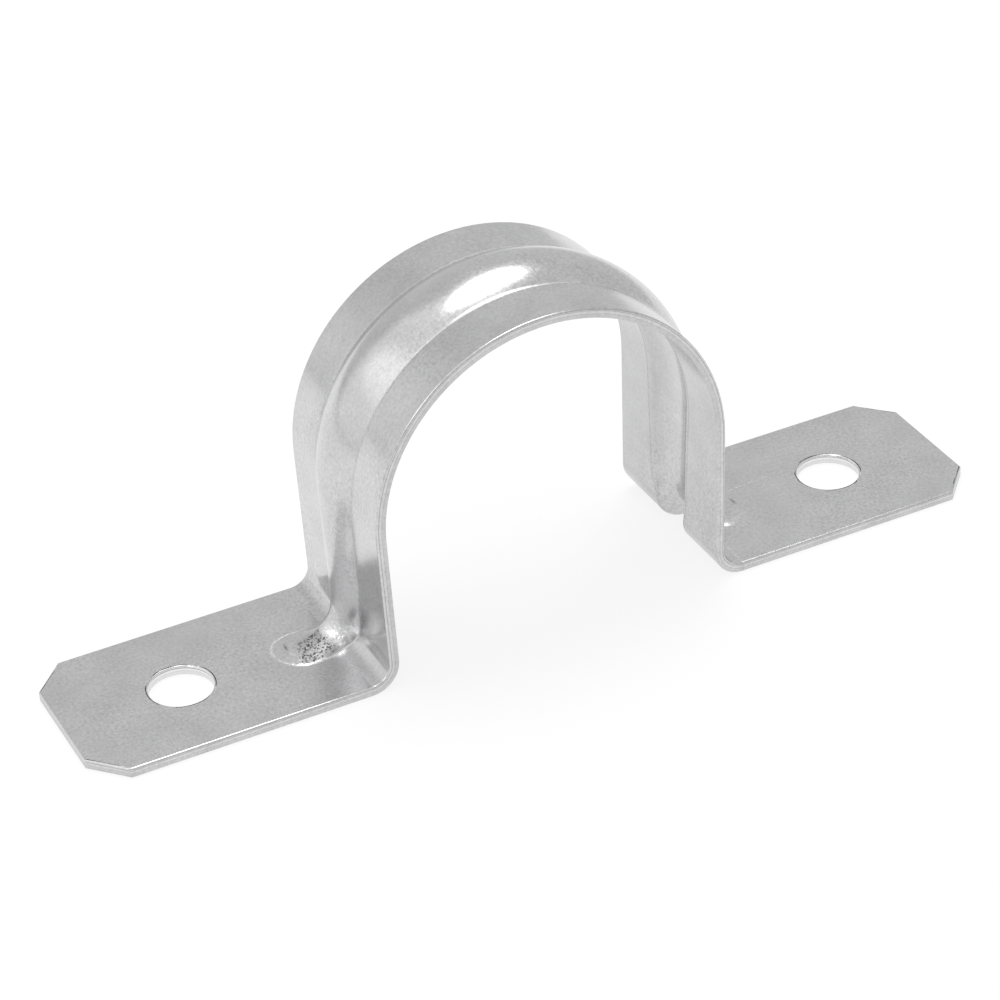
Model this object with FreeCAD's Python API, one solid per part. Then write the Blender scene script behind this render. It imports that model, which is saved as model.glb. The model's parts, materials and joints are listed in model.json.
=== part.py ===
"""Two-hole conduit strap, pressed in one piece from zinc-plated sheet steel.

Units are millimetres.  The frame sits in the middle of the mounting face: X runs
along the strap from hole to hole, Y along the conduit, and Z up from the wall.

The sheet is built the way a press makes it.  A form is the solid under a skin:
the die's form lies under the outer skin, and the punch's form lies one sheet
thickness deeper, with every radius offset by that much.  The metal is what lies
between the two, trimmed to the blank's outline and pierced for its screws.
"""
import FreeCAD, Part
import math
import os

# ---------------------------------------------------------------- driving sizes
sheet_t = 1.1            # sheet thickness

band_w = 21.2            # width of the band, along the conduit
overall_l = 105.8        # end to end, over both flanges
conduit_r = 19.3         # inner radius of the arch
pinch = 0.6              # what the seat lacks of the conduit's height, so screws clamp it
leg_lean = 1.2           # degrees by which the legs close in below the arch
bend_r = 2.2             # inside radius of the bend from leg to flange

hole_spacing = 79.0      # between the centres of the screw holes
hole_d = 7.0             # screw hole
corner_x = 3.6           # cut corner of a flange, along X
corner_y = 3.9           # and along Y

rib_h = 1.3              # height of the stiffening rib above the arch and legs
rib_w = 9.4              # width of the rib between its side walls
rib_crest_r = 8.0        # radius of the crest, across the rib
rib_fold_r = 0.5         # inside radius of the fold from the crest into a side wall
rib_root_r = 1.2         # fillet from the rib into the band
gusset_r = 4.6           # radius in which the crest turns out over a flange
nose_h = 0.6             # height of the rib above a flange
nose_run = 0.2           # straight run along the flange before the round nose

run_out = 6.0            # how far a form runs past the blank on every side
form_depth = 12.0        # and below the mounting face, clear of the rib's section


# ---------------------------------------------------------------- geometry help
def point(x, z, y=0.0):
    return FreeCAD.Vector(x, y, z)


def polar(centre, radius, degrees):
    a = math.radians(degrees)
    return point(centre.x + radius * math.cos(a), centre.z + radius * math.sin(a))


def line(a, b):
    return Part.LineSegment(a, b).toShape()


def arc(centre, radius, start, end):
    """Arc in the XZ plane from one angle to another, in degrees."""
    return Part.Arc(polar(centre, radius, start), polar(centre, radius, (start + end) / 2),
                    polar(centre, radius, end)).toShape()


def mirrored(shape):
    """The shape together with its mirror image on the other side of the conduit."""
    return shape.fuse(shape.mirror(point(0, 0), FreeCAD.Vector(1, 0, 0)))


# ---------------------------------------------------------------- the line of the strap
arch_z = conduit_r - pinch              # height of the conduit's centre above the mounting face
CROWN = point(0, arch_z)


def corner_centre(arch_r, level, corner_r):
    """Centre of the arc that leads from the left leg into the left flange.

    arch_r is the radius of the line over the conduit, level its height on the
    flange, and corner_r the radius in which it turns from one to the other.
    """
    lean = math.radians(leg_lean)
    z = level + corner_r
    x = -(arch_r + corner_r) / math.cos(lean) + (arch_z - z) * math.tan(lean)
    return point(x, z)


def strap_line(arch_r, level, corner_r, end_x):
    """The left half of a line over the arch, down the leg and out to end_x."""
    corner = corner_centre(arch_r, level, corner_r)
    return [
        arc(CROWN, arch_r, 90, 180 + leg_lean),
        line(polar(CROWN, arch_r, 180 + leg_lean), polar(corner, corner_r, leg_lean)),
        arc(corner, corner_r, leg_lean, -90),
        line(point(corner.x, level), point(end_x, level)),
    ]


# ---------------------------------------------------------------- band and rib of a form
def band(depth):
    """Left half of the solid under the plain band, depth below the outer skin."""
    arch_r = conduit_r + sheet_t - depth
    level = sheet_t - depth
    end_x = -(overall_l / 2 + run_out)
    edges = strap_line(arch_r, level, bend_r + depth, end_x)
    edges += [
        line(point(end_x, level), point(end_x, -form_depth)),
        line(point(end_x, -form_depth), point(0, -form_depth)),
        line(point(0, -form_depth), point(0, arch_z + arch_r)),
    ]
    face = Part.Face(Part.Wire(edges))
    width = band_w + 2 * run_out
    face.translate(FreeCAD.Vector(0, -width / 2, 0))
    return face.extrude(FreeCAD.Vector(0, width, 0))


def rib_flank(depth, x, axis_z):
    """One side of the rib's section in the YZ plane at x, from its crest down.

    axis_z is the height of the crest arc's centre.  The crest rolls over a
    shoulder into an upright side wall, so the rib keeps its width where it
    stands tall over the corner of the leg and the flange.
    """
    crest_r = rib_crest_r - depth
    shoulder_r = rib_fold_r + sheet_t - depth
    wall_y = rib_w / 2 - depth
    shoulder_y = wall_y - shoulder_r
    rise = math.sqrt((crest_r - shoulder_r) ** 2 - shoulder_y ** 2)
    meet = math.atan2(shoulder_y, rise)

    def on(y, z, radius, angle):
        return FreeCAD.Vector(x, y + radius * math.sin(angle), z + radius * math.cos(angle))

    def turn(y, z, radius, start, end):
        return Part.Arc(on(y, z, radius, start), on(y, z, radius, (start + end) / 2),
                        on(y, z, radius, end)).toShape()

    return [
        turn(0, axis_z, crest_r, 0, meet),
        turn(shoulder_y, axis_z + rise, shoulder_r, meet, math.pi / 2),
        line(FreeCAD.Vector(x, wall_y, axis_z + rise), FreeCAD.Vector(x, wall_y, axis_z)),
    ]


def rib(depth):
    """Left half of the rib's solid: swept over the strap, ended in a round nose."""
    arch_r = conduit_r + sheet_t + rib_h - rib_crest_r
    level = sheet_t + nose_h - rib_crest_r
    corner_r = gusset_r + rib_crest_r
    wall_y = rib_w / 2 - depth
    nose_x = corner_centre(arch_r, level, corner_r).x - nose_run
    spine = Part.Wire(strap_line(arch_r, level, corner_r, nose_x))

    crown_z = arch_z + arch_r
    flank = rib_flank(depth, 0, crown_z)
    other = [edge.mirror(point(0, 0), FreeCAD.Vector(0, 1, 0)) for edge in flank]
    floor = line(FreeCAD.Vector(0, wall_y, crown_z), FreeCAD.Vector(0, -wall_y, crown_z))
    section = Part.Wire(Part.__sortEdges__(flank + other + [floor]))
    sweep = spine.makePipeShell([section], True, False)

    flank = rib_flank(depth, nose_x, level)
    floor = line(FreeCAD.Vector(nose_x, wall_y, level), FreeCAD.Vector(nose_x, 0, level))
    axis = line(FreeCAD.Vector(nose_x, 0, level), flank[0].Vertexes[0].Point)
    face = Part.Face(Part.Wire(Part.__sortEdges__(flank + [floor, axis])))
    nose = face.revolve(point(nose_x, 0), FreeCAD.Vector(0, 0, 1), 360)
    return sweep.fuse(nose)


def is_root(solid, edge):
    """Whether an edge lies in the concave corner between the rib and the band."""
    box = edge.BoundBox
    if max(abs(box.YMin), abs(box.YMax)) > band_w / 2 or box.ZMin < -sheet_t or box.XMin > -1e-3:
        return False
    faces = solid.ancestorsOfType(edge, Part.Face)
    if len(faces) < 2:
        return False
    middle = edge.valueAt((edge.FirstParameter + edge.LastParameter) / 2)
    normals = [face.normalAt(*face.Surface.parameter(middle)) for face in faces]
    return math.degrees(normals[0].getAngle(normals[1])) > 8


def form(depth):
    """The solid under the skin that lies depth below the strap's outer skin."""
    solid = band(depth).fuse(rib(depth)).removeSplitter()
    roots = [edge for edge in solid.Edges if is_root(solid, edge)]
    return mirrored(solid.makeFillet(rib_root_r + depth, roots))


# ---------------------------------------------------------------- the strap
def blank():
    """Prism over the strap's outline, with the flanges' corners cut off."""
    x, y = overall_l / 2, band_w / 2
    outline = [(x, y - corner_y), (x - corner_x, y), (-x + corner_x, y), (-x, y - corner_y),
               (-x, -y + corner_y), (-x + corner_x, -y), (x - corner_x, -y), (x, -y + corner_y)]
    points = [FreeCAD.Vector(px, py, 0) for px, py in outline]
    face = Part.Face(Part.makePolygon(points + points[:1]))
    return face.extrude(FreeCAD.Vector(0, 0, arch_z + conduit_r + sheet_t + rib_h + run_out))


def screw_hole(x):
    return Part.makeCylinder(hole_d / 2, 3 * sheet_t, point(x, -sheet_t))


def strap():
    sheet = form(0).cut(form(sheet_t)).common(blank())
    sheet = sheet.cut(screw_hole(-hole_spacing / 2)).cut(screw_hole(hole_spacing / 2))
    return sheet.removeSplitter().Solids[0]


os.makedirs("parts", exist_ok=True)
strap().exportStep("parts/strap.step")
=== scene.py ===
"""A two-hole conduit strap in zinc-plated sheet steel, on a pale studio floor.

The strap is made the way a press makes it.  A flat blank, ruled into cells and
pierced with its two screw holes, is pressed by Geometry Nodes over the line of
the strap; the rib is raised on the way.  Lengths are in metres.
"""
import json
import math

import bpy
from mathutils import Matrix, Vector


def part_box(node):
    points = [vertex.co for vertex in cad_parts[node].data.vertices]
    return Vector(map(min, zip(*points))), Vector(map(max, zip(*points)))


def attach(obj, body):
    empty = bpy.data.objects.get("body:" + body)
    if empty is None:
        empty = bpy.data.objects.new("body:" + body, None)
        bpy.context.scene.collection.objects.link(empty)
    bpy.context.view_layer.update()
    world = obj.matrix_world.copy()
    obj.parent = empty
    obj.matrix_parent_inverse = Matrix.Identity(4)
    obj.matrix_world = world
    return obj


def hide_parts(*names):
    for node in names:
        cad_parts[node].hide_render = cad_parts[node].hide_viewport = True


bl_info = {
    "name": "Conduit strap",
    "version": (1, 0, 0),
    "blender": (4, 5, 0),
    "location": "View3D > Sidebar > Strap",
    "description": "Builds a pressed steel two-hole conduit strap and its studio",
    "category": "Object",
}

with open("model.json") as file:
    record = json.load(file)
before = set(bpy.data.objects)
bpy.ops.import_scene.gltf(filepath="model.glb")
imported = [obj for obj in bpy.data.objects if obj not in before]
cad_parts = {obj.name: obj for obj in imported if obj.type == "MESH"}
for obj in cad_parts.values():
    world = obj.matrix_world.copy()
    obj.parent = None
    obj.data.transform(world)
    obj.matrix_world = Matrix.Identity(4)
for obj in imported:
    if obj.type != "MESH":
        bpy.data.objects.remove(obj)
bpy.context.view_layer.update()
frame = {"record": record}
MOUNTS = {mount["name"]: mount for mount in frame["record"]["mounts"]}

# What the frame says of the strap
STRAP_LOW, STRAP_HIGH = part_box("strap")
CONDUIT_R = MOUNTS["conduit_seat"]["dims"]["r_mm"] / 1000
ARCH_Z = MOUNTS["conduit_seat"]["pos_m"][2]
HOLE_SPACING = MOUNTS["screw_holes"]["dims"]["spacing_x_mm"] / 1000
HOLE_R = MOUNTS["screw_holes"]["dims"]["hole_r_mm"] / 1000
BAND_W = STRAP_HIGH[1] - STRAP_LOW[1]
OVERALL_L = STRAP_HIGH[0] - STRAP_LOW[0]
SHEET_T = 0.0011
RIB_H = STRAP_HIGH[2] - ARCH_Z - CONDUIT_R - SHEET_T


# ---------------------------------------------------------------- settings
def length(name, description, default):
    return bpy.props.FloatProperty(name=name, description=description, default=default,
                                   min=0, unit="LENGTH", precision=5)


def share(name, description, default):
    return bpy.props.FloatProperty(name=name, description=description, default=default,
                                   min=0, max=1, subtype="FACTOR")


def angle(name, description, degrees):
    return bpy.props.FloatProperty(name=name, description=description,
                                   default=math.radians(degrees), subtype="ANGLE")


def amount(name, description, default):
    return bpy.props.FloatProperty(name=name, description=description, default=default, min=0)


def colour(name, description, default):
    return bpy.props.FloatVectorProperty(name=name, description=description, default=default,
                                         size=3, min=0, max=1, subtype="COLOR")


class StrapSizes(bpy.types.PropertyGroup):
    """Sizes of the pressed strap."""
    sheet_t: length("Sheet thickness", "Thickness of the steel sheet", SHEET_T)
    lean: angle("Leg lean", "Angle by which the legs close in", 1.2)
    bend_r: length("Bend radius", "Inside radius of the bend from leg to flange", 0.0022)
    corner_x: length("Corner cut along", "Cut corner of a flange, along the strap", 0.0036)
    corner_y: length("Corner cut across", "Cut corner of a flange, across the strap", 0.0039)
    crest_r: length("Rib crest radius", "Radius of the rib's crest, across the band", 0.008)
    root_r: length("Rib root radius", "Fillet from the rib into the band", 0.0007)
    gusset_r: length("Gusset radius", "Radius in which the rib turns out over a flange", 0.0050)
    nose_h: length("Nose height", "Height of the rib's nose above a flange", 0.00022)
    nose_x: length("Nose place", "Distance from the middle to the centre of the nose", 0.0258)
    leg_share: share("Rib width at a foot", "Rib width at the bottom of a leg, as a share", 0.86)
    waist_share: share("Rib width at a bend", "Front half over the bend, as a share", 0.64)
    nose_share: share("Nose width", "Front half of the rib's nose, as a share", 0.82)
    back_share: share("Nose width behind", "Back half of bend and nose, as a share", 0.57)
    nose_depth: share("Nose depth", "How far the nose bulges, as a share of the rib", 0.70)
    roll_r: length("Edge roll", "Rounding of the upper edges from shearing", 0.00022)


class ZincFinish(bpy.types.PropertyGroup):
    """Colours and gloss of the zinc plating."""
    bright: colour("Bright zinc", "Colour of clean plating", (0.71, 0.71, 0.715))
    dull: colour("Dull zinc", "Colour of greyed plating", (0.545, 0.545, 0.55))
    # Dark zinc is the colour of the pits and of the painted shade in edge steps, creases, the dent
    # and the inside
    pit_and_shade: colour("Dark zinc", "Colour in pits and steps", (0.10, 0.10, 0.10))
    roughness: share("Roughness", "Roughness of the plating", 0.20)


class StudioSettings(bpy.types.PropertyGroup):
    """Floor, light and camera."""
    floor_colour: colour("Floor", "Colour of the floor", (0.84, 0.84, 0.84))
    lit_wall: amount("Lit walls", "Brightness in front and to the left", 0.95)
    dim_wall: amount("Dim walls", "Brightness behind and to the right", 0.70)
    box_height: length("Soft box height", "Height of the soft box over the floor", 0.7)
    box_power: amount("Soft box power", "Power of the soft box in watts", 2.3)
    azimuth: angle("Azimuth", "Camera's turn to the left", 24.88)
    elevation: angle("Elevation", "Camera's height angle", 33.58)
    roll: angle("Roll", "Camera's tilt about its own axis", -3.43)
    lens: amount("Lens", "Focal length in millimetres", 122.4)


# ---------------------------------------------------------------- node helpers
class Field:
    """A number that nodes work out, so a tree can be written as arithmetic."""

    def __init__(self, tree, socket):
        self.tree, self.socket = tree, socket

    def calc(self, operation, *terms):
        node = self.tree.nodes.new("ShaderNodeMath")
        node.operation = operation
        for term, socket in zip(terms, node.inputs):
            plug(self.tree, term, socket)
        return Field(self.tree, node.outputs[0])

    def __add__(self, other):
        return self.calc("ADD", self, other)

    def __radd__(self, other):
        return self.calc("ADD", other, self)

    def __sub__(self, other):
        return self.calc("SUBTRACT", self, other)

    def __rsub__(self, other):
        return self.calc("SUBTRACT", other, self)

    def __mul__(self, other):
        return self.calc("MULTIPLY", self, other)

    def __rmul__(self, other):
        return self.calc("MULTIPLY", other, self)

    def __truediv__(self, other):
        return self.calc("DIVIDE", self, other)

    def __rtruediv__(self, other):
        return self.calc("DIVIDE", other, self)

    def __neg__(self):
        return self.calc("MULTIPLY", self, -1.0)

    def sin(self):
        return self.calc("SINE", self)

    def cos(self):
        return self.calc("COSINE", self)

    def tan(self):
        return self.calc("TANGENT", self)

    def root(self):
        return self.calc("SQRT", self.at_least(0.0))

    def size(self):
        return self.calc("ABSOLUTE", self)

    def sign(self):
        return self.calc("SIGN", self)

    def at_least(self, low):
        return self.calc("MAXIMUM", self, low)

    def at_most(self, high):
        return self.calc("MINIMUM", self, high)

    def within(self, low, high):
        return self.at_least(low).at_most(high)

    def below(self, limit):
        return self.calc("LESS_THAN", self, limit)

    def above(self, limit):
        return self.calc("GREATER_THAN", self, limit)

    def eased(self):
        """The number held between 0 and 1, eased at both ends."""
        t = self.within(0.0, 1.0)
        return t * t * (3.0 - 2.0 * t)

    def ramp(self, start, width):
        """0 up to start and 1 from a width past it, eased between."""
        return ((self - start) / width).eased()

    def near(self, place, reach):
        """1 at a place, falling straight to 0 at the reach on both sides."""
        return 1.0 - ((self - place).size() / reach).within(0.0, 1.0)


def plug(tree, value, socket):
    """Links a field or a socket to an input, or writes a plain value into it."""
    if isinstance(value, Field):
        tree.links.new(value.socket, socket)
    elif isinstance(value, bpy.types.NodeSocket):
        tree.links.new(value, socket)
    else:
        socket.default_value = value


def add_node(tree, kind, inputs=None, **settings):
    """A node with its settings, and its inputs given by name or number."""
    node = tree.nodes.new(kind)
    for key, value in settings.items():
        setattr(node, key, value)
    for key, value in (inputs or {}).items():
        plug(tree, value, node.inputs[key])
    return node


def mix(low, high, part):
    return low + (high - low) * part


# ---------------------------------------------------------------- the pressed strap
# Cells of the blank along half of the strap, from the crown outwards
ARCH_CELLS, LEG_CELLS, BEND_CELLS = 44, 20, 44
NOSE_CELLS, FLANGE_CELLS, TIP_CELLS, CORNER_CELLS = 30, 32, 30, 10
# and across half of the band: the crest, the rib's root, and the flat beside it
CREST_CELLS, ROOT_CELLS, FLAT_CELLS = 10, 12, 12
# Cells from a screw hole's centre to its rim, and to where the blank is square again
HOLE_CELLS, HOLE_FADE_CELLS = 8, 20

HALF_CELLS = (ARCH_CELLS + LEG_CELLS + BEND_CELLS + NOSE_CELLS + FLANGE_CELLS
              + TIP_CELLS + CORNER_CELLS)
SIDE_CELLS = CREST_CELLS + ROOT_CELLS + FLAT_CELLS
HOLE_CELL = HALF_CELLS - TIP_CELLS - CORNER_CELLS

# Where the gusset lands on its nose: an ellipse, set in from the nose's centre
LANDING_IN, LANDING_DEPTH, LANDING_WIDTH = 0.0014, 0.00295, 0.0036
# Where the crease beside the rib runs, as a share of the rib's foot, and its reach
CREASE_PLACE, CREASE_REACH = 0.985, 0.00022
# How much of its height the nose on the right loses
FLATTENING = 0.88

STRAP_INPUTS = (
    "Sheet thickness", "Conduit radius", "Arch height", "Leg lean", "Bend radius",
    "Band width", "Overall length", "Hole spacing", "Hole radius", "Corner along",
    "Corner across", "Rib height", "Crest radius", "Root radius", "Gusset radius",
    "Nose height", "Nose place", "Nose depth", "Foot share", "Waist share",
    "Nose share", "Back share",
)


def strap_line(at, arch_r, level, corner_r, depth, arch, leg, bend, run):
    """Distance from the middle and height of a point on one of the strap's lines.

    The line goes over the conduit, down the leg, round the corner and out along
    the flange.  arch, leg and bend are how much of each is behind the point, from
    0 to 1, and run is how far it is past the corner.  depth is how far the line
    lies under the outer skin.
    """
    lean = at["Leg lean"]
    corner_z = level + corner_r
    reach = (arch_r + corner_r) / lean.cos()
    corner_x = reach - (at["Arch height"] - corner_z) * lean.tan()
    leg_x = corner_x - (arch_r + corner_r) * lean.cos()
    leg_z = corner_z - at["Arch height"] + (arch_r + corner_r) * lean.sin()
    r, q = arch_r - depth, corner_r + depth
    over = arch * (lean + math.pi / 2)
    turn = lean - bend * (lean + math.pi / 2)
    x = r * over.sin() + leg * leg_x + q * (lean.cos() - turn.cos()) + run
    z = at["Arch height"] + r * over.cos() + leg * leg_z + q * (turn.sin() - lean.sin())
    return x, z


def rib_foot(at):
    """Distance from the middle of the rib to where its root meets the band."""
    reach = at["Crest radius"] + at["Root radius"]
    centre = at["Crest radius"] - at["Rib height"] + at["Root radius"]
    return (reach * reach - centre * centre).root()


def rib_profile(at, foot, across, depth):
    """Height of the rib's section, from 1 on the crest to 0 on the band."""
    crest_r, root_r, rib_h = at["Crest radius"], at["Root radius"], at["Rib height"]
    r, q = crest_r - depth, root_r + depth
    meet = foot * r / (crest_r + root_r)
    top = (r * r - across * across).root() - r + rib_h
    left = foot - across.at_most(foot)
    toe = q - (q * q - left * left).root()
    return mix(toe, top, across.below(meet)) / rib_h


def press(tree, at, spot):
    """Fields for the pressed position of each point of the blank."""
    cell, line, level = (Field(tree, spot.outputs[axis]) for axis in "XYZ")
    depth = -level * at["Sheet thickness"]
    along, across = cell.size(), line.size()
    lean = at["Leg lean"]
    turn = lean + math.pi / 2

    def stage(first, cells):
        return ((along - first) / cells).within(0.0, 1.0)

    arch = stage(0, ARCH_CELLS)
    leg = stage(ARCH_CELLS, LEG_CELLS)
    bend = stage(ARCH_CELLS + LEG_CELLS, BEND_CELLS)
    nose = stage(HOLE_CELL - FLANGE_CELLS - NOSE_CELLS, NOSE_CELLS)
    flat = stage(HOLE_CELL - FLANGE_CELLS, FLANGE_CELLS)
    tip = stage(HOLE_CELL, TIP_CELLS)
    corner = stage(HOLE_CELL + TIP_CELLS, CORNER_CELLS)

    skin_r = at["Conduit radius"] + at["Sheet thickness"]
    crest = (skin_r + at["Rib height"], at["Sheet thickness"] + at["Nose height"],
             at["Gusset radius"])
    band = (skin_r, at["Sheet thickness"], at["Bend radius"])

    # where the crest has turned its corner, and how the band reaches that place
    crest_z = at["Sheet thickness"] + at["Nose height"] + at["Gusset radius"]
    crest_x = ((crest[0] + crest[2]) / lean.cos()
               - (at["Arch height"] - crest_z) * lean.tan())
    band_z = at["Sheet thickness"] + at["Bend radius"]
    band_x = ((band[0] + band[2]) / lean.cos() - (at["Arch height"] - band_z) * lean.tan())
    band_leg = (at["Arch height"] - skin_r * lean.sin() - band_z
                - at["Bend radius"] * lean.sin()) / lean.cos()
    above = ((crest_z + crest[2] * lean.sin()) - (band_z + band[2] * lean.sin())) / lean.cos()
    round_it = at["Bend radius"] * turn
    beyond = crest_x - band_x
    travel = bend * (above + round_it + beyond)
    band_leg_part = (leg * (band_leg - above) + travel.at_most(above)) / band_leg
    band_bend_part = ((travel - above) / round_it).within(0.0, 1.0)
    band_run = (travel - above - round_it).at_least(0.0)

    # how wide the rib is at this place; it draws in lower down on its front side
    foot = rib_foot(at)
    front, left = line.below(0.0), cell.below(0.0)
    waist = mix(at["Back share"], at["Waist share"], front)
    snout = mix(at["Back share"], at["Nose share"], front)
    narrowing = mix((bend * 3.0).eased(), bend.ramp(0.0, 0.58), front)
    width = (1.0 + (at["Foot share"] - 1.0) * leg
             + (waist - at["Foot share"]) * narrowing
             + (snout - waist) * bend.ramp(0.56, 0.30))

    # across the band, cells crowd round the root of the rib but not round the hole
    side = at["Band width"] / 2.0
    inner = (across / CREST_CELLS).at_most(1.0)
    middle = ((across - CREST_CELLS) / ROOT_CELLS).within(0.0, 1.0)
    outer = ((across - CREST_CELLS - ROOT_CELLS) / FLAT_CELLS).within(0.0, 1.0)
    crowded = (foot * width * (inner * 0.74 + middle * 0.34)
               + (side - foot * width * 1.08) * outer)
    even = side * across / SIDE_CELLS
    relax = (flat * FLANGE_CELLS / (FLANGE_CELLS - HOLE_FADE_CELLS)).eased()
    y = mix(crowded, even, relax)

    # along the flange, past the corner of the crest
    nose_r = foot * at["Nose depth"]
    nose_end = at["Nose place"] - crest_x + nose_r * 1.12
    half_l, half_s = at["Overall length"] / 2.0, at["Hole spacing"] / 2.0
    out = (nose * nose_end + flat * (half_s - crest_x - nose_end)
           + tip * (half_l - at["Corner along"] - half_s) + corner * at["Corner along"])
    y = y * (1.0 - corner * at["Corner across"] / side)

    # the screw hole, rounded out of the square cells about it
    off = along - HOLE_CELL
    ring = off.size().at_least(across)
    far = (off * off + across * across).root().at_least(0.001)
    faded = ((ring - HOLE_CELLS) / (HOLE_FADE_CELLS - HOLE_CELLS)).within(0.0, 1.0)
    reach = mix(at["Hole radius"], side * (HOLE_FADE_CELLS / SIDE_CELLS), faded)
    out = mix(half_s - crest_x + reach * off / far, out, faded)
    y = mix(reach * across / far, y, faded)

    # the rib's height here, with a round end to its nose
    crest_top, _ = strap_line(at, *crest, 0.0, arch, leg, bend, out)
    past = (crest_top - at["Nose place"]).at_least(0.0) / at["Nose depth"]
    wide = y / width
    off_centre = (wide * wide + past * past).root()
    rise = rib_profile(at, foot, off_centre, depth)

    # how far out a point is towards the line where the gusset lands on the nose
    reach_in = crest_top - (at["Nose place"] - LANDING_IN)
    in_share, by_share = reach_in / LANDING_DEPTH, y / LANDING_WIDTH
    landing = (in_share * in_share + by_share * by_share).root()

    # marks of the press: metal stretched on the gusset's front, pits at its end,
    # and creases along the foot of the rib and across the bends
    beyond_x = crest_top - at["Nose place"]
    forward = -y * line.sign()
    slanted_end = 0.0010 + forward * 0.25
    pulled = (bend.ramp(0.16, 0.14) * (1.0 - (beyond_x - slanted_end).ramp(-0.0010, 0.0010))
              * rise.ramp(0.0, 0.25) * forward.ramp(-0.0009, 0.0008) * mix(0.12, 1.0, left))
    pitted = pulled * beyond_x.ramp(-0.0028, 0.0009)

    # on the right the nose is all but flat, and has no crease round it
    shallow = (1.0 - left) * bend.ramp(0.70, 0.30)
    off_crease = (off_centre - foot * CREASE_PLACE).size() * width
    crease = (1.0 - (off_crease / CREASE_REACH).within(0.0, 1.0)) * (1.0 - shallow)
    turned = (travel - above) / round_it
    folds = (turned.near(0.0, 0.07) + turned.near(1.0, 0.07)) * (1.0 - rise.ramp(0.0, 0.05))

    # painted light: a painted highlight along the crease on the arch's front and round the left
    # nose, a comma of painted shade where the gusset lands on the nose, and a painted highlight
    # streak beside it
    on_arch = front * arch.ramp(0.27, 0.08) * (1.0 - arch.ramp(0.52, 0.08))
    round_nose = bend.ramp(0.90, 0.08) * left * mix(0.2, 0.5, front)
    crease_glint = crease * (on_arch + round_nose)
    arc = landing.near(1.0, 0.07) * bend.ramp(0.9, 0.08)
    comma_shade = arc * (1.0 - (forward + 0.0004).size().ramp(0.0, 0.0010))
    streak = arc * (1.0 - (forward - 0.0016).size().ramp(0.0, 0.0012)) * left

    crest_px, crest_pz = strap_line(at, *crest, depth, arch, leg, bend, out)
    band_px, band_pz = strap_line(at, *band, depth, arch, band_leg_part,
                                  band_bend_part, band_run + out)
    rise = rise * (1.0 - shallow * FLATTENING)
    x = mix(band_px, crest_px, rise) * cell.sign()
    z = mix(band_pz, crest_pz, rise)
    # the crease glints and the streak are painted highlights and the comma is painted shade; the
    # other marks are the press's own
    marks = {"stretched": pulled, "pitted": pitted, "creased": crease.at_least(folds * 0.35),
             "painted_glint": crease_glint.at_least(streak), "dent_shade": comma_shade, "raised": rise,
             "pierced": 1.0 - (ring - HOLE_CELLS).within(0.0, 1.0)}
    return x, y * line.sign(), z, marks


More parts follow.
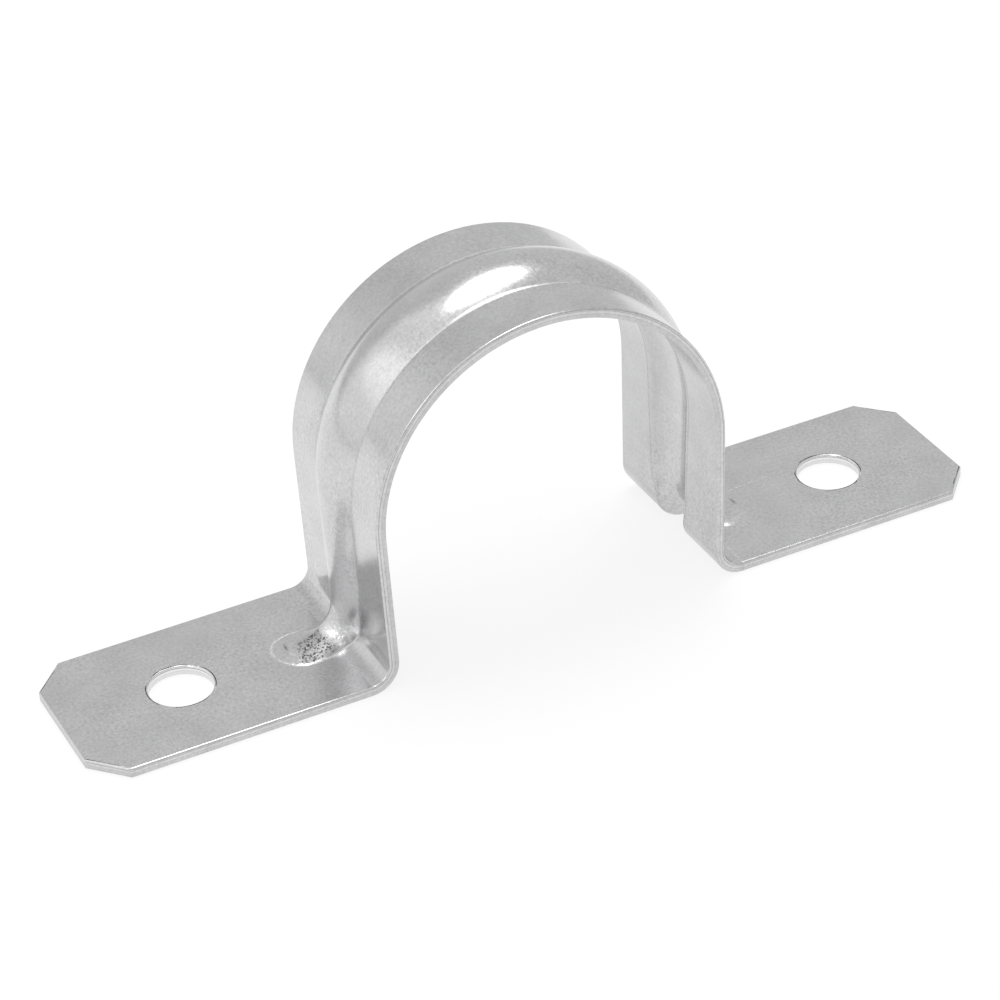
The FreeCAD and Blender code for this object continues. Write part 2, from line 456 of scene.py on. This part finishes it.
def blank_tree():
    """Geometry Nodes that cut the flat blank and press it into the strap."""
    tree = bpy.data.node_groups.new("Press strap", "GeometryNodeTree")
    face = tree.interface
    face.new_socket("Geometry", in_out="OUTPUT", socket_type="NodeSocketGeometry")
    for name in STRAP_INPUTS:
        face.new_socket(name, in_out="INPUT", socket_type="NodeSocketFloat")
    face.new_socket("Upper edge roll", in_out="INPUT", socket_type="NodeSocketFloat")
    face.new_socket("Lower edge roll", in_out="INPUT", socket_type="NodeSocketFloat")
    face.new_socket("Material", in_out="INPUT", socket_type="NodeSocketMaterial")
    given = tree.nodes.new("NodeGroupInput")
    at = {name: Field(tree, given.outputs[name]) for name in STRAP_INPUTS}

    sheet = add_node(tree, "GeometryNodeMeshGrid", {
        "Size X": 2.0 * HALF_CELLS, "Size Y": 2.0 * SIDE_CELLS,
        "Vertices X": 2 * HALF_CELLS + 1, "Vertices Y": 2 * SIDE_CELLS + 1})
    where = add_node(tree, "ShaderNodeSeparateXYZ",
                     {0: tree.nodes.new("GeometryNodeInputPosition").outputs[0]})
    cell, line = Field(tree, where.outputs["X"]), Field(tree, where.outputs["Y"])
    in_hole = (cell.size() - HOLE_CELL).size().below(HOLE_CELLS) * line.size().below(HOLE_CELLS)
    pierced = add_node(tree, "GeometryNodeDeleteGeometry",
                       {"Geometry": sheet.outputs["Mesh"], "Selection": in_hole}, domain="FACE")

    under = add_node(tree, "GeometryNodeExtrudeMesh", {
        "Mesh": pierced.outputs[0], "Offset Scale": -1.0, "Individual": False})
    marked = add_node(tree, "GeometryNodeStoreNamedAttribute", {
        "Geometry": under.outputs["Mesh"], "Name": "sheared", "Value": under.outputs["Side"]},
        data_type="FLOAT", domain="FACE")
    measured = add_node(tree, "GeometryNodeStoreNamedAttribute", {
        "Geometry": marked.outputs[0], "Name": "under", "Value": -Field(tree, where.outputs["Z"])},
        data_type="FLOAT", domain="CORNER")
    turned = add_node(tree, "GeometryNodeFlipFaces", {"Mesh": measured.outputs[0]})
    both = tree.nodes.new("GeometryNodeJoinGeometry")
    tree.links.new(turned.outputs[0], both.inputs[0])
    tree.links.new(pierced.outputs[0], both.inputs[0])
    whole = add_node(tree, "GeometryNodeMergeByDistance",
                     {"Geometry": both.outputs[0], "Distance": 0.01})

    # the sheared edges roll over a little, more above than below
    fold = Field(tree, tree.nodes.new("GeometryNodeInputMeshEdgeAngle").outputs[0])
    height = Field(tree, where.outputs["Z"])
    roll = mix(Field(tree, given.outputs["Lower edge roll"]),
               Field(tree, given.outputs["Upper edge roll"]), height.above(-0.5))
    rolled = add_node(tree, "GeometryNodeStoreNamedAttribute", {
        "Geometry": whole.outputs[0], "Name": "bevel_weight_edge",
        "Value": roll * fold.above(1.2)}, data_type="FLOAT", domain="EDGE")

    x, y, z, marks = press(tree, at, where)
    flat_sheet = rolled
    for name, value in marks.items():
        flat_sheet = add_node(tree, "GeometryNodeStoreNamedAttribute", {
            "Geometry": flat_sheet.outputs[0], "Name": name, "Value": value},
            data_type="FLOAT", domain="POINT")
    place = add_node(tree, "ShaderNodeCombineXYZ", {"X": x, "Y": y, "Z": z})
    pressed = add_node(tree, "GeometryNodeSetPosition",
                       {"Geometry": flat_sheet.outputs[0], "Position": place.outputs[0]})
    smooth = add_node(tree, "GeometryNodeSetShadeSmooth", {"Geometry": pressed.outputs[0]})
    real = add_node(tree, "GeometryNodeRealizeInstances", {0: smooth.outputs[0]})
    coated = add_node(tree, "GeometryNodeSetMaterial",
                      {"Geometry": real.outputs[0], "Material": given.outputs["Material"]})
    end = tree.nodes.new("NodeGroupOutput")
    tree.links.new(coated.outputs[0], end.inputs[0])
    return tree


def set_inputs(modifier, values):
    """Sets a Geometry Nodes modifier's inputs, found by name."""
    for item in modifier.node_group.interface.items_tree:
        if item.item_type == "SOCKET" and item.in_out == "INPUT" and item.name in values:
            modifier[item.identifier] = values[item.name]


def finished(piece, name):
    """A plain mesh object of the piece with its modifiers applied."""
    bpy.context.view_layer.update()
    graph = bpy.context.evaluated_depsgraph_get()
    mesh = bpy.data.meshes.new_from_object(piece.evaluated_get(graph), depsgraph=graph)
    mesh.name = name
    bpy.data.objects.remove(piece)
    result = bpy.data.objects.new(name, mesh)
    bpy.context.scene.collection.objects.link(result)
    return result


class STRAP_OT_press(bpy.types.Operator):
    """Presses the strap out of its blank and plates it with zinc"""
    bl_idname = "strap.press"
    bl_label = "Press the strap"

    def execute(self, context):
        size = context.scene.strap_sizes
        zinc = zinc_plate(context.scene.zinc_finish)
        piece = bpy.data.objects.new("blank", bpy.data.meshes.new("blank"))
        context.scene.collection.objects.link(piece)
        nodes = piece.modifiers.new("Press", "NODES")
        nodes.node_group = blank_tree()
        set_inputs(nodes, {
            "Sheet thickness": size.sheet_t, "Conduit radius": CONDUIT_R,
            "Arch height": ARCH_Z, "Leg lean": size.lean, "Bend radius": size.bend_r,
            "Band width": BAND_W, "Overall length": OVERALL_L, "Hole spacing": HOLE_SPACING,
            "Hole radius": HOLE_R, "Corner along": size.corner_x,
            "Corner across": size.corner_y, "Rib height": RIB_H,
            "Crest radius": size.crest_r, "Root radius": size.root_r,
            "Gusset radius": size.gusset_r, "Nose height": size.nose_h,
            "Nose place": size.nose_x, "Nose depth": size.nose_depth,
            "Foot share": size.leg_share, "Waist share": size.waist_share,
            "Nose share": size.nose_share, "Back share": size.back_share,
            "Upper edge roll": 1.0, "Lower edge roll": 0.4, "Material": zinc})
        bevel = piece.modifiers.new("Edge roll", "BEVEL")
        bevel.limit_method = "WEIGHT"
        bevel.width = size.roll_r
        bevel.segments = 4
        bevel.use_clamp_overlap = False
        bevel.harden_normals = True
        strap = finished(piece, "pressed_strap")
        if len(strap.data.polygons) < 2 * HALF_CELLS * SIDE_CELLS:
            raise RuntimeError("The blank wasn't pressed: its mesh is empty or thin")
        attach(strap, "root")
        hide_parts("strap")
        return {"FINISHED"}


# ---------------------------------------------------------------- zinc
# Scales of the plating's patterns: the higher, the finer
GRAIN_SCALE, CLOUD_SCALE, PATCH_SCALE, SPECK_SCALE = 2800.0, 260.0, 75.0, 2900.0
PATCHINESS_SCALE, TORN_SCALE, CRINKLE_SCALE, BURR_SCALE = 1900.0, 1600.0, 3300.0, 5200.0
PIT_SCALE, PIT_CLUSTER_SCALE = 3700.0, 1700.0
# Heights of the relief, in metres
GRAIN_RISE, BURR_RISE, CRINKLE_RISE = 0.0000022, 0.000012, 0.00007
CREASE_DROP, GLINT_LINE_DROP, SCRATCH_RISE = 0.00002, 0.00005, 0.00001
# Depth into the sheared edge, as a share of the sheet: the step, then the torn half
STEP_DEPTH, TORN_DEPTH = 0.24, 0.56
# The scratch on one flange: where it starts, its length, its slope and its half width
SCRATCH_X, SCRATCH_Y, SCRATCH_LENGTH = 0.0275, 0.00242, 0.0089
SCRATCH_SLOPE, SCRATCH_REACH = 0.0724, 0.00011
# Colour of the painted highlights, and of the scratch
GLINT_AND_SCRATCH_ZINC = (0.96, 0.96, 0.96)


def zinc_plate(finish):
    """Bright zinc on pressed steel: satin, faintly mottled, with fine pits, painted highlights and
    painted shade.
    """
    material = bpy.data.materials.new("zinc plate")
    material.use_nodes = True
    tree = material.node_tree
    shader = tree.nodes["Principled BSDF"]
    coords = tree.nodes.new("ShaderNodeTexCoord").outputs["Object"]

    def noise(scale, detail, rough=0.5):
        return Field(tree, add_node(tree, "ShaderNodeTexNoise", {
            "Vector": coords, "Scale": scale, "Detail": detail,
            "Roughness": rough}).outputs["Fac"])

    def held(name):
        node = add_node(tree, "ShaderNodeAttribute", attribute_name=name)
        return Field(tree, node.outputs["Fac"])

    sheared, under, creased = held("sheared"), held("under"), held("creased")
    inner = under.above(0.9) * (1.0 - sheared)
    stretched, pitted, painted_glint, dent_shade = (
        held(name) * (1.0 - inner) for name in ("stretched", "pitted", "painted_glint", "dent_shade"))
    hole_wall = held("pierced") * sheared
    raised = held("raised")
    spot = add_node(tree, "ShaderNodeSeparateXYZ", {0: coords})
    x, y, z = (Field(tree, spot.outputs[axis]) for axis in "XYZ")

    # plating: a fine grain over faint clouds, coarser in some places than in others
    grain = noise(GRAIN_SCALE, 2.0, 0.7)
    cloud = noise(CLOUD_SCALE, 3.0)
    patches = (noise(PATCH_SCALE, 1.0) - 0.35).within(0.0, 0.3) / 0.3
    specks = (noise(SPECK_SCALE, 1.0) - 0.57).within(0.0, 0.10) * 10.0
    tone = ((grain - 0.5) * (1.3 + patches * 1.3) + (cloud - 0.5) * 0.9 + 0.5).within(0.0, 1.0)

    # the sheared edge: a clean band, a dark line of painted shade at its step (darker on the hole
    # walls), and then the torn half
    torn = under + (noise(TORN_SCALE, 2.0) - 0.5) * 0.16
    torn_half = torn.above(TORN_DEPTH)
    step = under.near(STEP_DEPTH, 0.06) * (0.55 + hole_wall * 0.4)
    lip = torn.near(TORN_DEPTH, 0.07) * 0.22
    edge = sheared * (step + lip + torn_half * 0.06)

    # pits and crinkles in the stretched metal; painted shade in creases, the dent and the inside
    crinkle = noise(CRINKLE_SCALE, 2.0, 0.7)
    cells = add_node(tree, "ShaderNodeTexVoronoi", {"Vector": coords, "Scale": PIT_SCALE})
    dots = Field(tree, cells.outputs["Distance"]) + (noise(PIT_CLUSTER_SCALE, 1.0) - 0.5) * 0.7
    pits = ((mix(0.10, 0.44, pitted) - dots) / 0.10).within(0.0, 1.0)
    # patches that break up the painted highlights, the painted crease shade and the scratch
    patchiness = (noise(PATCHINESS_SCALE, 2.0, 0.7) - 0.42).within(0.0, 0.2) * 5.0
    flecks = specks * (0.3 + patches) * (1.0 - sheared)
    # painted shade: the step of the edges, the creases, the dent on the nose and the inside of the
    # sheet; the pits and specks are real
    dark = (edge + pits * stretched * mix(0.5, 0.9, pitted) + pitted * 0.38
            + flecks * 0.11 + creased * patchiness * 0.16 + dent_shade * 0.75
            + inner * (1.0 - raised) * 0.11).within(0.0, 1.0)

    # a long scratch on one flange; painted highlights on the creases, the gusset's front and the
    # hole walls
    along = ((x - SCRATCH_X) / SCRATCH_LENGTH).within(0.0, 1.0)
    off = (y - SCRATCH_Y - (x - SCRATCH_X) * SCRATCH_SLOPE + (cloud - 0.5) * 0.0003).size()
    on_top = z.above(0.0009) * z.below(0.002)
    scratch = (off.near(0.0, SCRATCH_REACH) * (along * 12.0).at_most(1.0)
               * ((1.0 - along) * 5.0).at_most(1.0) * on_top)
    gusset_glint = stretched * (1.0 - pitted) * (1.0 - z.ramp(0.0022, 0.0014))
    light = (painted_glint * patchiness + scratch * patchiness * 0.6 + hole_wall * 0.6
             + gusset_glint * mix(0.1, 0.9, patchiness)).within(0.0, 1.0)

    def blended(factor, low, high):
        node = add_node(tree, "ShaderNodeMix", {"Factor": factor}, data_type="RGBA")
        for socket, value in ((node.inputs["A"], low), (node.inputs["B"], high)):
            plug(tree, value if isinstance(value, bpy.types.NodeSocket) else (*value, 1.0), socket)
        return node.outputs["Result"]

    plating = blended(tone, finish.dull, finish.bright)
    # painted highlights, and the scratch
    plating = blended(light, plating, GLINT_AND_SCRATCH_ZINC)
    # painted shade, and the pits and specks
    plating = blended(dark, plating, finish.pit_and_shade)
    tree.links.new(plating, shader.inputs["Base Color"])
    shader.inputs["Metallic"].default_value = 1.0
    # the flat nose on the right is duller than the rest
    far_foot = x.above(0.0) * raised * z.below(0.006) * (1.0 - inner)
    rough = (finish.roughness + (grain - 0.5) * 0.12 + patches * 0.02
             + sheared * torn_half * 0.15 + stretched * 0.02 + pitted * 0.20
             + creased * (1.0 - painted_glint) * 0.28 + far_foot * 0.1)
    plug(tree, rough.within(0.05, 0.8), shader.inputs["Roughness"])
    relief = (grain * GRAIN_RISE + sheared * noise(BURR_SCALE, 2.0) * BURR_RISE
              + stretched * crinkle * CRINKLE_RISE
              - creased * (0.4 + patchiness * 0.6) * CREASE_DROP
              - painted_glint * (0.3 + patchiness * 0.7) * GLINT_LINE_DROP + scratch * SCRATCH_RISE)
    bump = add_node(tree, "ShaderNodeBump", {"Strength": 1.0, "Distance": 1.0})
    plug(tree, relief, bump.inputs["Height"])
    tree.links.new(bump.outputs["Normal"], shader.inputs["Normal"])
    return material


# ---------------------------------------------------------------- studio
# The floor paper's own white, how much of it the camera and the metal see, where
# it greys in the metal's mirror, and by how much
PAPER_WHITE, PAPER_SEEN, PAPER_END, PAPER_GREYING = 1.03, 0.80, 0.30, 0.42
# Brightness that a window and a panel add to the walls, and a corner and doorway take
WINDOW_GAIN, PANEL_GAIN, CORNER_LOSS, DOORWAY_SHARE = 0.35, 1.6, 0.04, 0.5
# The soft box: its place and its size in shares of its height, and its turn
BOX_PLACE, BOX_SIZE, BOX_TURN = (0.19, 0.31), (0.82, 0.48), math.radians(38)
CAMERA_PLACE = (-0.12896, -0.27498, 0.21262)


def paper(name, tint):
    """Matt paper for the floor: white to the camera, with the strap's shadow on it."""
    material = bpy.data.materials.new(name)
    material.use_nodes = True
    tree = material.node_tree
    shader = tree.nodes["Principled BSDF"]
    shader.inputs["Base Color"].default_value = (*tint, 1.0)
    shader.inputs["Roughness"].default_value = 0.9
    shader.inputs["Specular IOR Level"].default_value = 0.1
    glow = tree.nodes.new("ShaderNodeEmission")
    path = tree.nodes.new("ShaderNodeLightPath")
    seen = Field(tree, path.outputs["Is Camera Ray"])
    mirrored = Field(tree, path.outputs["Is Glossy Ray"])
    # the paper ends some way off, so the metal mirrors a greyer ground beyond it
    spot = add_node(tree, "ShaderNodeSeparateXYZ",
                    {0: tree.nodes.new("ShaderNodeTexCoord").outputs["Object"]})
    x, y = Field(tree, spot.outputs["X"]), Field(tree, spot.outputs["Y"])
    greyed = (x * x + y * y).root().ramp(PAPER_END, PAPER_END) * mirrored * (1.0 - seen)
    plug(tree, PAPER_WHITE - PAPER_GREYING * greyed, glow.inputs["Strength"])
    blend = tree.nodes.new("ShaderNodeMixShader")
    plug(tree, seen.at_least(mirrored) * PAPER_SEEN, blend.inputs[0])
    tree.links.new(shader.outputs[0], blend.inputs[1])
    tree.links.new(glow.outputs[0], blend.inputs[2])
    tree.links.new(blend.outputs[0], tree.nodes["Material Output"].inputs["Surface"])
    return material


def studio_walls(studio):
    """A world like a room: a bright wall in front and to the left, greyer ones behind."""
    world = bpy.data.worlds.new("studio")
    world.use_nodes = True
    tree = world.node_tree
    toward = add_node(tree, "ShaderNodeSeparateXYZ",
                      {0: tree.nodes.new("ShaderNodeTexCoord").outputs["Generated"]})
    x, y, z = (Field(tree, toward.outputs[axis]) for axis in "XYZ")
    leftward, frontward = -x, -y
    lit = ((0.23 * z - x - 0.72 * y) / 0.36 + 0.5).eased()
    doorway = frontward.ramp(0.52, 0.2) * (-z).ramp(-0.62, 0.2)
    window = leftward.ramp(0.55, 0.2) * z.ramp(0.30, 0.2)
    panel = leftward.ramp(0.55, 0.12) * frontward.ramp(0.28, 0.1) * z.ramp(0.35, 0.1)
    corner = leftward.ramp(-0.15, 0.3) * (1.0 - lit)
    wall = (mix(studio.dim_wall, studio.lit_wall, lit) + window * WINDOW_GAIN
            + panel * PANEL_GAIN - corner * CORNER_LOSS)
    plug(tree, wall * (1.0 - DOORWAY_SHARE * doorway),
         tree.nodes["Background"].inputs["Strength"])
    tree.nodes["Background"].inputs["Color"].default_value = (1.0, 1.0, 1.0, 1.0)
    return world


def area_light(name, place, aim, size, power):
    """An oval soft light at a place, turned to its aim."""
    data = bpy.data.lights.new(name, "AREA")
    data.shape = "ELLIPSE"
    data.size, data.size_y = size
    data.energy = power
    lamp = bpy.data.objects.new(name, data)
    lamp.location = place
    lamp.rotation_euler = (Vector(aim) - Vector(place)).to_track_quat("-Z", "Y").to_euler()
    bpy.context.scene.collection.objects.link(lamp)
    return lamp


class STRAP_OT_studio(bpy.types.Operator):
    """Sets the floor, the light and the camera"""
    bl_idname = "strap.studio"
    bl_label = "Set the studio"

    def execute(self, context):
        studio = context.scene.studio_settings

        mesh = bpy.data.meshes.new("floor")
        reach = 20.0 * OVERALL_L
        mesh.from_pydata([(-reach, -reach, 0), (reach, -reach, 0), (reach, reach, 0),
                          (-reach, reach, 0)], [], [(0, 1, 2, 3)])
        floor = bpy.data.objects.new("floor", mesh)
        floor.data.materials.append(paper("floor paper", studio.floor_colour))
        context.scene.collection.objects.link(floor)

        context.scene.world = studio_walls(studio)
        # the round soft box hangs level over the strap, a little to the right and behind
        high = studio.box_height
        over = [part * high for part in BOX_PLACE]
        box = area_light("soft box", (*over, high), (*over, 0.0),
                         [part * high for part in BOX_SIZE], studio.box_power)
        box.rotation_euler.z = BOX_TURN

        az, el, roll = -studio.azimuth, studio.elevation, studio.roll
        ahead = Vector((-math.sin(az) * math.cos(el), math.cos(az) * math.cos(el),
                        -math.sin(el)))
        level = Vector((math.cos(az), math.sin(az), 0.0))
        upward = level.cross(ahead)
        right = level * math.cos(roll) + upward * math.sin(roll)
        top = upward * math.cos(roll) - level * math.sin(roll)
        data = bpy.data.cameras.new("camera")
        data.lens = studio.lens
        data.sensor_width = 36.0
        camera = bpy.data.objects.new("camera", data)
        camera.matrix_world = Matrix.Translation(CAMERA_PLACE) @ Matrix(
            (right, top, -ahead)).transposed().to_4x4()
        context.scene.collection.objects.link(camera)
        context.scene.camera = camera
        context.scene.view_settings.view_transform = "Standard"
        return {"FINISHED"}


# ---------------------------------------------------------------- panel and run
class STRAP_PT_panel(bpy.types.Panel):
    """The strap's tools"""
    bl_idname = "STRAP_PT_panel"
    bl_label = "Conduit strap"
    bl_space_type = "VIEW_3D"
    bl_region_type = "UI"
    bl_category = "Strap"

    def draw(self, context):
        for group in ("strap_sizes", "zinc_finish", "studio_settings"):
            settings = getattr(context.scene, group)
            box = self.layout.box()
            for name in settings.__annotations__:
                box.prop(settings, name)
        for tool in (STRAP_OT_press, STRAP_OT_studio):
            self.layout.operator(tool.bl_idname)


GROUPS = {"strap_sizes": StrapSizes, "zinc_finish": ZincFinish, "studio_settings": StudioSettings}
CLASSES = (*GROUPS.values(), STRAP_OT_press, STRAP_OT_studio, STRAP_PT_panel)


def register():
    for kind in CLASSES:
        bpy.utils.register_class(kind)
    for name, kind in GROUPS.items():
        setattr(bpy.types.Scene, name, bpy.props.PointerProperty(type=kind))


def unregister():
    for name in GROUPS:
        delattr(bpy.types.Scene, name)
    for kind in reversed(CLASSES):
        bpy.utils.unregister_class(kind)


def main():
    register()
    bpy.ops.strap.press()
    bpy.ops.strap.studio()


if __name__ == "__main__":
    main()
